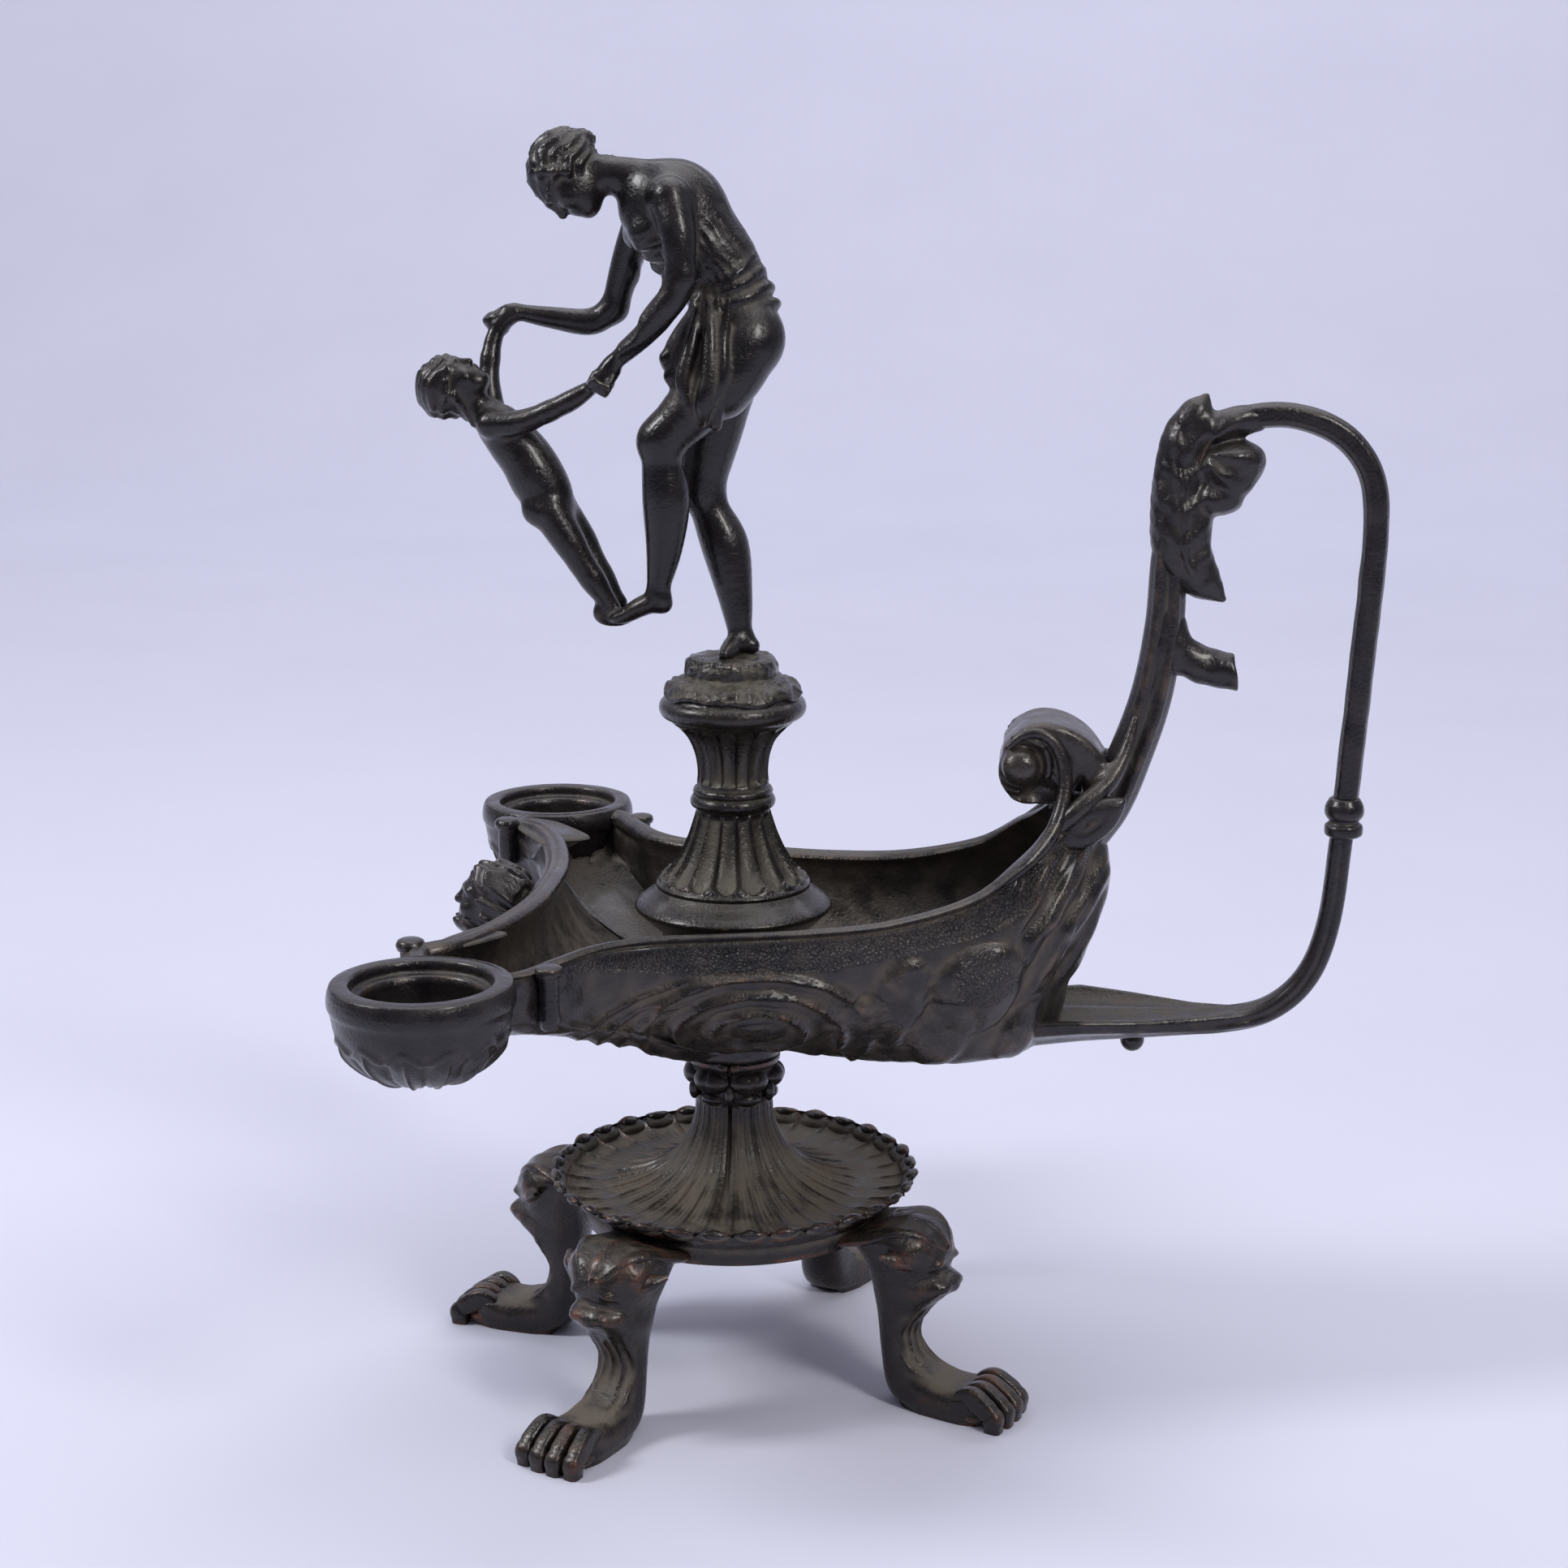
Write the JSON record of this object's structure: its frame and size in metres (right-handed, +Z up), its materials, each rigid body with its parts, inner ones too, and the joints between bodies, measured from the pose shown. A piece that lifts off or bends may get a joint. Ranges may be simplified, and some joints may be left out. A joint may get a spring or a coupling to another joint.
{
  "type": "oil lamp",
  "caption": "Bronze oil lamp: a long open bowl with forked nozzles and a looped handle, on a lobed dish with paw feet, with a fluted column and a figure group inside.",
  "frame": {"origin": "midway along the whole length, on the lamp's middle plane, at the height of the soles", "axes": "+Z up, +X along the lamp towards the handle, so the nozzles point to -X"},
  "size_m": [0.1508, 0.1384, 0.1972],
  "materials": {
    "dark_bronze": "dark brown patina, satin, worn to copper on edges",
    "dusty_bronze": "dark patina with grey olive dust in the hollows, satin"
  },
  "bodies": {
    "root": {"stand": "dusty_bronze", "lamp_body": "dark_bronze", "handle_arch": "dark_bronze", "column": "dusty_bronze", "figure_group": "dark_bronze"}
  },
  "joints": []
}
